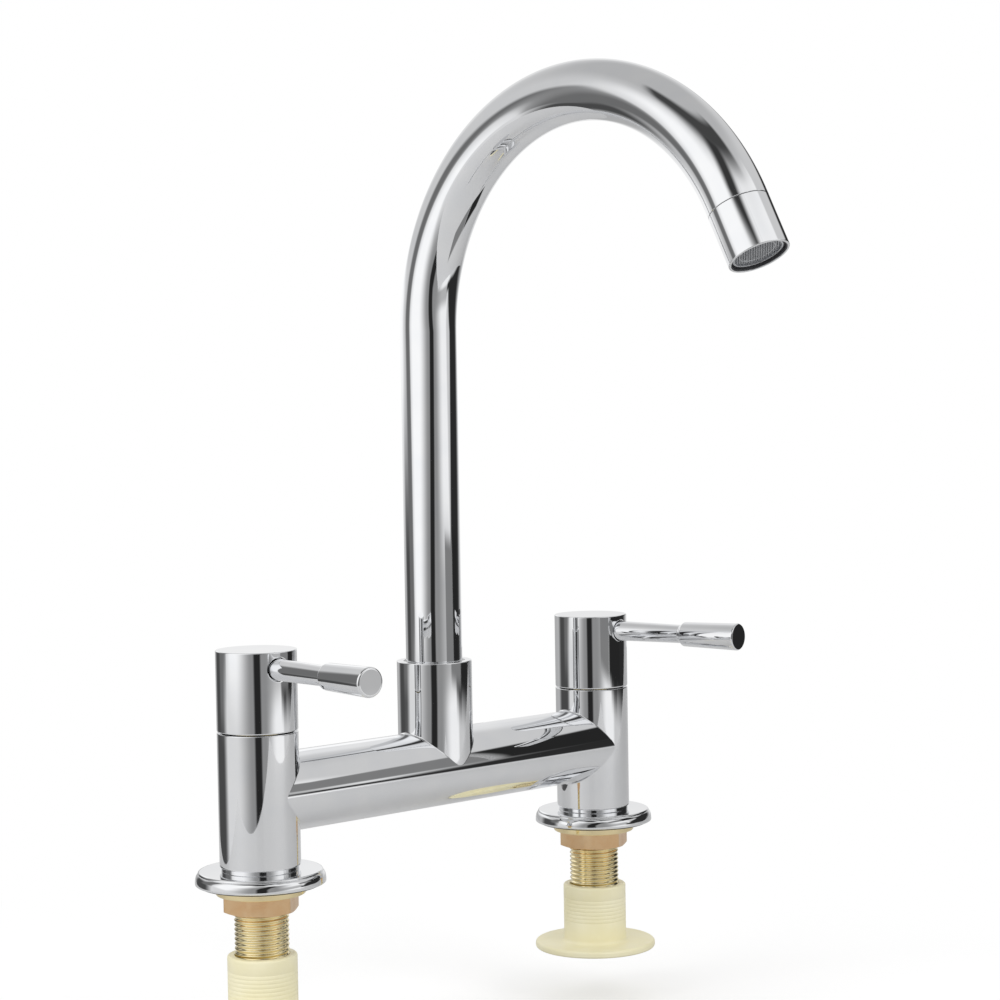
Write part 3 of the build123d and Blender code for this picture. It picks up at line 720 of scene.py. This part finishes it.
# ------------------------------------------------------------------ bridge and socket
def rolled(ball, first, last, radius, steps=12):
    """Rows of the blend between two walls: on each, the arc about the ball's middle from one
    touching point to the other, (sin((1 - k) a) p + sin(k a) q) / sin(a) for k from 0 to 1."""
    p, q = (first - ball) / radius, (last - ball) / radius
    angle = np.arccos(np.clip((p * q).sum(-1), -1, 1))[:, None]
    k = np.linspace(0, 1, steps)[:, None, None]
    return ball + radius * (np.sin((1 - k) * angle) * p + np.sin(k * angle) * q) / np.sin(angle)


def bridge():
    """Tube between the pillars. Its ends blend into them along the curve on which a ball of the
    blend's radius rolls on both: the ball's middle lies on both walls made thicker by that
    radius, and the blend is the arc about it between its two touching points."""
    columns, bore = 256, 13.6
    sink, bore_end = 0.97, 15.1  # where the ends stop inside the pillar's wall
    t = around(columns)
    y, z = -(BRIDGE_R + BLEND) * np.sin(t), (BRIDGE_R + BLEND) * np.cos(t)
    x = SHANK_X - np.sqrt((PILLAR_R + BLEND) ** 2 - y**2)
    ball = np.stack((x, y, z), -1)
    axis = np.array((SHANK_X, 0, 0))
    share = BRIDGE_R / (BRIDGE_R + BLEND)
    on_bridge = ball * (1, share, share)
    share = PILLAR_R / (PILLAR_R + BLEND)
    on_pillar = axis + (ball - axis) * (share, share, 1)
    right = rolled(ball, on_bridge, on_pillar, BLEND)
    k = np.linspace(0, 1, 24)[1:-1, None, None]
    mirror = (-1, 1, 1)
    tube = on_bridge * mirror * (1 - k) + on_bridge * k
    sunk = (axis + (on_pillar - axis) * (sink, sink, 1))[None]
    y, z = -bore * np.sin(t), bore * np.cos(t)
    hidden = np.stack((SHANK_X - np.sqrt(bore_end**2 - y**2), y, z), -1)[None]
    rows = (hidden * mirror, sunk * mirror, right[::-1] * mirror, tube, right, sunk, hidden)
    points = np.vstack(rows).reshape(-1, 3) + (0, 0, BRIDGE_Z)
    faces = quads(len(points) // columns, columns, loop_rows=True)
    return piece("bridge", points, faces, "root", "chrome", "bridge_tube")


def spout_socket():
    """Socket for the spout: rim with a small rounding, plain wall with the grub screw's hole,
    blended into the bridge along the rolling ball's curve, and the bore inside. It is made with
    the screw to the front and turned half round at the end."""
    throat, throat_end, skirt, skirt_sink = 9.0, 14.4, 15.0, 1.0
    screw_hole = (2.75, 2.55, 12.6)
    level = SOCKET_FLOOR + 11.0
    t = around(ROUND)

    def saddle(radius, tube, height):
        """Ring of an upright pipe where it meets a tube along X."""
        x, y = radius * np.sin(t), -radius * np.cos(t)
        return np.stack((x, y, height + np.sqrt(tube**2 - y**2)), -1)

    ball = saddle(SOCKET_R + BLEND, BRIDGE_R + BLEND, 0.0)
    share = SOCKET_R / (SOCKET_R + BLEND)
    on_socket = ball * (share, share, 1)
    share = BRIDGE_R / (BRIDGE_R + BLEND)
    foot = rolled(ball, on_socket, ball * (1, share, share), BLEND) + (0, 0, BRIDGE_Z)
    under = saddle(skirt, BRIDGE_R, BRIDGE_Z - skirt_sink)
    inner = saddle(throat, throat_end, BRIDGE_Z)
    window = np.linspace(level + 3.3, level - 3.3, 12)
    rim = outline(
        (SOCKET_BORE, WALL_SPLIT),
        (SOCKET_BORE, SOCKET_RIM, 0.15),
        (SOCKET_R, SOCKET_RIM, 0.4),
        (SOCKET_R, WALL_SPLIT),
    )[1:-1]
    floor = [[throat, SOCKET_FLOOR], [SOCKET_BORE, SOCKET_FLOOR]]
    rows = np.vstack((floor, rim, straight(SOCKET_R, window)))
    points = np.vstack((turned(rows), foot.reshape(-1, 3), under, inner))
    solid = points, quads(len(points) // ROUND, ROUND, loop_rows=True)
    span = window_span(ROUND, SOCKET_R, 3.2, len(floor) + len(rim), len(window))
    points, faces = pocketed(solid, ROUND, span, rows[:, 1], SOCKET_R, level, screw_hole)
    return piece("socket", points * (-1, -1, 1), faces, "root", "chrome", "spout_socket")


def slip_ring():
    """Plastic bearing ring between spout and socket, with soft edges."""
    inner, low, high = SPOUT_R + 0.05, 74.3, 77.6
    rows = outline(
        (inner, low),
        (SOCKET_BORE, low),
        (SOCKET_BORE, high, 0.2),
        (inner, high, 0.15),
        steps=5,
    )
    points, faces = turned_solid(rows, 160)
    return piece("bearing_ring", points, faces, "root", "white_plastic", "slip_ring")


# ------------------------------------------------------------------ spout
def gooseneck():
    """Pipe along the riser, the bend and the short straight end: each station is a ring about the
    path's point in the plane square to the path."""
    columns, chamfer = 192, 0.12
    riser = np.linspace(SPOUT_FOOT, RISER_TOP, 16)[:-1]
    bend = np.linspace(0, BEND, 260)
    end = np.linspace(0, TAIL - COLLAR, 4)[1:]
    bent = (0 * bend, BEND_R * (np.cos(bend) - 1), RISER_TOP + BEND_R * np.sin(bend))
    upright = (0 * riser, 0 * riser, riser)
    centre = np.vstack((np.stack(upright, -1), np.stack(bent, -1), BEND_END + OUT * end[:, None]))
    angle = np.concatenate((0 * riser, bend, 0 * end + BEND))
    t = np.linspace(0, 2 * np.pi, columns, endpoint=False)[:, None]

    def wall(radius, middle, turn):
        away = np.stack((0 * turn, np.cos(turn), np.sin(turn)), -1)[:, None]
        return middle[:, None] + radius * (np.cos(t) * (1.0, 0, 0) + np.sin(t) * away)

    outer = wall(SPOUT_R, centre, angle)
    outer[-1] -= OUT * chamfer
    edge = wall(SPOUT_R - chamfer, centre[-1:], angle[-1:])
    inner = wall(SPOUT_R - SPOUT_WALL, centre, angle)[::-1]
    rows = np.concatenate((outer, edge, inner))
    faces = quads(len(rows), columns, loop_rows=True)
    return piece("gooseneck", rows.reshape(-1, 3), faces, "spout", "chrome", "gooseneck_tube")


def outlet_piece(name, solid, body, finish, node, smooth=32.0):
    """A piece made on the Z axis and set in the spout's outlet."""
    return piece(name, placed(solid[0], at_outlet()), solid[1], body, finish, node, smooth)


def outlet_collar():
    """Screwed collar, flush with the spout, rounded at the mouth, with a ledge for the aerator."""
    mouth, mouth_top, ledge, ledge_top, bore = 10.5, 2.5, 9.5, 8.0, 10.2
    top = COLLAR - 0.15
    rows = outline(
        (mouth, 0, 0.12),
        (SPOUT_R, 0, 0.3),
        (SPOUT_R, top, 0.22),
        (bore, top, 0.05),
        (bore, ledge_top),
        (ledge, ledge_top),
        (ledge, mouth_top, 0.1),
        (mouth, mouth_top),
    )
    solid = turned_solid(rows, 192)
    return outlet_piece("collar", solid, "aerator_collar", "chrome", "aerator_collar")


def aerator_body():
    """Moulded body of the aerator, near black as painted shade in the collar's mouth: a thin lining
    of the collar's mouth, which is a dark sheet over its wall as painted shade, a flat ring round the
    screen, and the cup behind it."""
    cup, cup_low, cup_high, skirt, top = 8.9, 1.6, 3.3, 9.46, 7.5
    # painted shade: the lining covers the collar's mouth wall so that the gap shows black
    lining, outer, lip, shoulder = 10.2, 10.46, 0.35, 2.46
    rows = outline(
        (0, cup_high),
        (cup, cup_high),
        (cup, cup_low, 0.1),
        (lining, cup_low, 0.1),
        (lining, lip, 0.08),
        (outer, lip, 0.08),
        (outer, shoulder),
        (skirt, shoulder),
        (skirt, top),
        (0, top),
        steps=4,
    )
    solid = turned_solid(rows, 160)
    return outlet_piece("aerator_body", solid, "aerator_core", "grey_plastic", "aerator_insert")


def woven_screen():
    """Round steel gauze: round wires both ways on a square pitch, each weaving over and under as
    height * cos(pi * along / pitch), clipped to the screen's circle, inside a flat rim, with a
    pressed ring half way out."""
    reach, pitch, wire, level, weave, top = 8.75, 0.64, 0.115, 2.2, 0.1, 2.4
    hoops = ((reach, 9.5, 1.15), (6.45, 6.85, 1.95))  # inner radius, outer radius, lower face
    count = int(reach / pitch)
    k = np.arange(-count, count + 1)
    offset = k * pitch
    half = np.sqrt((reach + 0.02) ** 2 - offset**2)
    along = np.linspace(-1, 1, 96)[None, :] * half[:, None]
    t = np.linspace(0, 2 * np.pi, 5, endpoint=False)
    sign = np.where(k % 2 == 0, 1.0, -1.0)[:, None]
    rise = weave * sign * np.cos(np.pi * along / pitch)
    solids = []
    for way in (1, -1):
        side = offset[:, None, None] + wire * np.cos(t) + 0 * along[..., None]
        height = (level + way * rise)[..., None] + wire * np.sin(t)
        ahead = along[..., None] + 0 * side
        wires = np.stack((side, ahead, height) if way == 1 else (ahead, side, height), -1)
        grid = quads(along.shape[1], len(t))
        solids.extend(closed_ends(one.reshape(-1, 3), grid, len(t)) for one in wires)
    for inner, outer, low in hoops:
        corners = ((inner, low, 0.1), (outer, low, 0.1), (outer, top, 0.1), (inner, top, 0.1))
        solids.append(turned_solid(outline(*corners, steps=4), 128))
    base = np.cumsum([0] + [len(p) for p, f in solids])
    points = np.vstack([p for p, f in solids])
    faces = np.vstack([outward(p, f) + first for (p, f), first in zip(solids, base)])
    solid = points, faces
    return outlet_piece("woven_screen", solid, "aerator_core", "steel", "aerator_screen", 60.0)


for side in ("left", "right"):
    valve_pillar(side)
    base_flange(side)
    base_gasket(side)
    lock_nut(side)
    threaded_shank(side)
    mounting_nut(side)
    handle_cap(side)
    lever(side)
bridge()
spout_socket()
slip_ring()
gooseneck()
outlet_collar()
aerator_body()
woven_screen()


# ------------------------------------------------------------------ studio
CAMERA = (-0.6362213, -0.7262386, 0.1851064)
YAW, PITCH, ROLL = 42.86978, -2.52639, -0.96127
LENS, SENSOR = 85.889, 36.0
TO_CAMERA = math.radians(90 - YAW) + math.pi  # compass angle from the object to the camera


def photo_camera():
    """Camera of the photograph: placed by yaw from +Y, pitch and roll, with an 86 mm lens."""
    yaw, pitch, roll = (math.radians(v) for v in (YAW, PITCH, ROLL))
    level = math.cos(pitch)
    ahead = Vector((math.sin(yaw) * level, math.cos(yaw) * level, math.sin(pitch)))
    right = Vector((math.cos(yaw), -math.sin(yaw), 0))
    up = right.cross(ahead)
    level_right = math.cos(roll) * right + math.sin(roll) * up
    level_up = -math.sin(roll) * right + math.cos(roll) * up
    data = bpy.data.cameras.new("photo_camera")
    data.sensor_width = SENSOR
    data.lens = LENS
    data.clip_start, data.clip_end = 0.01, 50.0
    camera = bpy.data.objects.new("photo_camera", data)
    camera.matrix_world = Matrix((level_right, level_up, -ahead)).transposed().to_4x4()
    camera.location = CAMERA
    bpy.context.scene.collection.objects.link(camera)
    bpy.context.scene.camera = camera
    return camera


# What polished metal sees of the studio: a box shaped light tent whose front wall stands at a
# compass angle of TENT_TURN, counted from the camera's side to the right. Soft edged boxes are
# laid over one another on its walls, later ones on top. Each has a compass angle from and to about
# the middle of the tent, the softness of these two edges, a height angle from and to, their
# softness, its lean in degrees of compass for each degree of height, and a grey.
TENT_TURN = -19.0
FRONT, BACK, RIGHT, LEFT, TOP = 0.515, 1.3, 0.64, 0.38, 0.9
TENT_MIDDLE = 0.1  # height that height angles are counted from
ROOM = 0.63  # grey of the bare cloth
TABLE = -0.05435  # at the foot of the resting nuts
FLOOR = -0.0766  # below the nuts at the end of their travel
SOFT_BOXES = [
    (-400, 400, 1, 1, 56, 100, 20, 1, 0, 0.49),  # ceiling
    (157, 400, 36, 1, -20, 44, 8, 14, 0, 0.84),  # pale back wall
    (-400, -148, 1, 26, -20, 44, 8, 14, 0, 0.8),
    (-400, -122, 1, 26, 7, 23, 14, 6, 0, 1.05),  # bright strip on the left wall
    (-400, -140, 1, 16, -40, -1, 1, 10, 0, 0.45),
    (-134, -80, 24, 4, -40, 8, 1, 20, 0, 0.07),  # dark gap behind the left box
    (-104, -80, 12, 4, -12, 35, 4, 8, 0, 0.16),
    (-76, 20, 22, 4, -40, 47, 1, 18, 0, 1.05),  # large soft box on the left
    (-84, 20, 20, 4, -40, -8, 1, 6, 0, 0.74),  # its sill
    (20, 79, 4, 8, -40, 50, 1, 12, 0, 0.95),  # fill light on the right
    (20, 76, 4, 6, -9.5, -1, 2.5, 7, 0, 0.48),  # its sill
    (-34, 8, 40, 4, -40, 30, 1, 16, 0.9, 0.28),  # shade on both sides of the camera
    (4, 38, 4, 34, -40, 30, 1, 16, 0.3, 0.28),
    (-9, 9, 6, 6, -40, 22, 1, 8, 0.9, 0.02),  # the dark gap for the camera
    (80, 138, 8, 30, -10.5, 28, 3, 6, 1.1, 0.025),  # dark gap on the right
    (72, 92, 6, 4, -10.5, -6, 3, 3, 0, 0.025),
    (-62, 54, 14, 16, 55, 72, 14, 8, 0, 0.06),  # dark ceiling over the front
    (-18, 10, 18, 16, 38, 60, 8, 4, 0, 0.04),
]


def compass(angle):
    """Level direction at a compass angle counted from the camera's side to the right."""
    turn = TO_CAMERA + math.radians(angle)
    return np.array((math.cos(turn), math.sin(turn)))


def studio_world():
    """White room for the camera and soft white light for matt pieces."""
    world = bpy.data.worlds.new("studio")
    bpy.context.scene.world = world
    world.use_nodes = True
    world.node_tree.nodes.clear()
    g = Graph(world.node_tree)
    room = g.shade("ShaderNodeBackground", 0.75)
    white = g.shade("ShaderNodeBackground", 1.0)
    shown = g.chosen(g.camera_ray(), room, white)
    g.feed(g.add("ShaderNodeOutputWorld").inputs["Surface"], shown)


def staged(name, corners, faces, material, reflected_only=True):
    """A studio surface that isn't part of the object, seen by all rays or by reflections alone."""
    mesh = bpy.data.meshes.new(name)
    mesh.from_pydata([tuple(float(v) for v in c) for c in corners], [], faces)
    mesh.materials.append(material)
    made = bpy.data.objects.new(name, mesh)
    bpy.context.scene.collection.objects.link(made)
    if reflected_only:
        made.visible_camera = False
        made.visible_diffuse = False
        made.visible_shadow = False
    return made


def glowing(name):
    """An empty node material that gives light to reflections but isn't sampled as a lamp, and its
    graph."""
    material = bpy.data.materials.new(name)
    material.use_nodes = True
    material.node_tree.nodes.clear()
    material.cycles.emission_sampling = "NONE"
    return material, Graph(material.node_tree)


def tent_corners():
    """Plan corners of the tent, round from front left."""
    ahead, right = compass(TENT_TURN), compass(TENT_TURN + 90)
    plan = ((FRONT, -LEFT), (FRONT, RIGHT), (-BACK, RIGHT), (-BACK, -LEFT))
    return [ahead * y + right * x for y, x in plan]


def ground(name, height, material, reflected_only):
    """Level plane as wide as the tent."""
    corners = [(*c, height) for c in tent_corners()]
    return staged(name, corners, [(0, 1, 2, 3)], material, reflected_only)


def light_tent():
    """Walls and ceiling of the tent. The grey at a point comes from its compass and height angles
    about the middle; a soft box's mask is the product of its four smooth edges."""
    lean_from, lean_over = 5.0, 20.0  # boxes lean from 5 degrees below the middle to 15 above
    material, g = glowing("tent_cloth")
    x, y, z = g.xyz()
    towards, rightwards = g.dot(x, y, compass(0)), g.dot(x, y, compass(90))
    bearing = g.maths("DEGREES", g.maths("ARCTAN2", rightwards, towards))
    rise = g.maths("SUBTRACT", z, TENT_MIDDLE)
    height = g.maths("DEGREES", g.maths("ARCTAN2", rise, g.length(x, y)))
    raised = g.maths("MAXIMUM", g.maths("ADD", height, lean_from), 0.0)
    raised = g.maths("MINIMUM", raised, lean_over)
    grey = ROOM
    for left, right, soft_left, soft_right, low, high, soft_low, soft_high, lean, shown in SOFT_BOXES:
        leaned = g.maths("SUBTRACT", bearing, g.maths("MULTIPLY", raised, lean)) if lean else bearing
        across = g.between(leaned, left, right, soft_left, soft_right)
        upright = g.between(height, low, high, soft_low, soft_high)
        grey = g.mixed(g.maths("MULTIPLY", across, upright), grey, shown)
    g.feed(g.add("ShaderNodeOutputMaterial").inputs["Surface"], g.shade("ShaderNodeEmission", grey))
    plan = tent_corners()
    corners = [(*c, z) for z in (TABLE - 0.001, TOP) for c in plan]
    walls = [(k, (k + 1) % 4, 4 + (k + 1) % 4, 4 + k) for k in range(4)]
    return staged("light_tent", corners, [*walls, (4, 5, 6, 7)], material)


def studio_card(name, across, low, high, soft, grey):
    """Card that stands to the right of the tap and faces it, with faded edges. Across counts
    metres towards the camera's side."""
    distance = 0.16
    material, g = glowing(name)
    x, y, z = g.xyz()
    side = g.between(g.dot(x, y, compass(0)), across[0], across[1], soft, soft)
    mask = g.maths("MULTIPLY", side, g.between(z, low, high, soft, soft))
    clear = g.add("ShaderNodeBsdfTransparent").outputs[0]
    shown = g.chosen(mask, clear, g.shade("ShaderNodeEmission", grey))
    g.feed(g.add("ShaderNodeOutputMaterial").inputs["Surface"], shown)
    reach = (across[0] - soft / 2, across[1] + soft / 2)
    ends = [compass(90) * distance + compass(0) * v for v in reach]
    bottom, top = low - soft / 2, high + soft / 2
    corners = [(*ends[0], bottom), (*ends[1], bottom), (*ends[1], top), (*ends[0], top)]
    return staged(name, corners, [(0, 1, 2, 3)], material)


def reflected_table():
    """Slightly glossy grey table, at the foot of the resting object, that only chrome sees."""
    material, shader, _ = shaded("grey_table")
    shader.inputs["Base Color"].default_value = (0.6, 0.6, 0.6, 1)
    shader.inputs["Roughness"].default_value = 0.45
    shader.inputs["Specular IOR Level"].default_value = 0.15
    return ground("reflected_table", TABLE, material, True)


def floor():
    """Pale floor, low enough for the mounting nuts at the end of their travel. The camera sees it
    near white with the object's shadow, and plain white away from the object."""
    lift, shadow_reach, shadow_fade = 0.42, 0.26, 0.2
    material, shader, g = shaded("pale_floor")
    shader.inputs["Base Color"].default_value = (0.6, 0.6, 0.6, 1)
    shader.inputs["Roughness"].default_value = 0.6
    matt = g.add("ShaderNodeBsdfDiffuse", Color=(0.62, 0.62, 0.62, 1))
    lifted = g.add("ShaderNodeAddShader")
    g.feed(lifted.inputs[0], matt.outputs[0])
    g.feed(lifted.inputs[1], g.shade("ShaderNodeEmission", lift))
    x, y, _ = g.xyz()
    far = g.edge(g.length(x, y), shadow_reach, shadow_fade)
    seen = g.chosen(far, lifted.outputs[0], g.shade("ShaderNodeEmission", 1.0))
    shown = g.chosen(g.camera_ray(), shader.outputs[0], seen)
    g.feed(g.tree.nodes["Material Output"].inputs["Surface"], shown)
    made = ground("floor", FLOOR, material, False)
    made.visible_glossy = False
    return made


LAMP_AIM = Vector((0, 0, 0.05))


def soft_light(name, angle, height, distance, size, power):
    """Area lamp at a compass angle from the camera's side, aimed at the middle of the object, that
    polished metal doesn't see, because the studio already gives its reflections."""
    data = bpy.data.lights.new(name, "AREA")
    data.shape = "RECTANGLE"
    data.size, data.size_y = size
    data.energy = power
    made = bpy.data.objects.new(name, data)
    place = Vector((*(compass(angle) * distance), height))
    made.location = place
    made.rotation_euler = (LAMP_AIM - place).to_track_quat("-Z", "Y").to_euler()
    made.visible_glossy = False
    bpy.context.scene.collection.objects.link(made)
    return made


photo_camera()
studio_world()
light_tent()
studio_card("dark_card", (-0.07, 0.006), 0.05, 0.12, 0.012, 0.02)
studio_card("grey_card", (0.006, 0.12), 0.05, 0.118, 0.012, 0.22)
reflected_table()
floor()
soft_light("left_box", angle=-52, height=0.9, distance=1.4, size=(0.9, 0.9), power=9.0)
soft_light("right_box", angle=45, height=0.9, distance=1.4, size=(0.9, 0.9), power=6.0)

bpy.context.scene.view_settings.view_transform = "Standard"
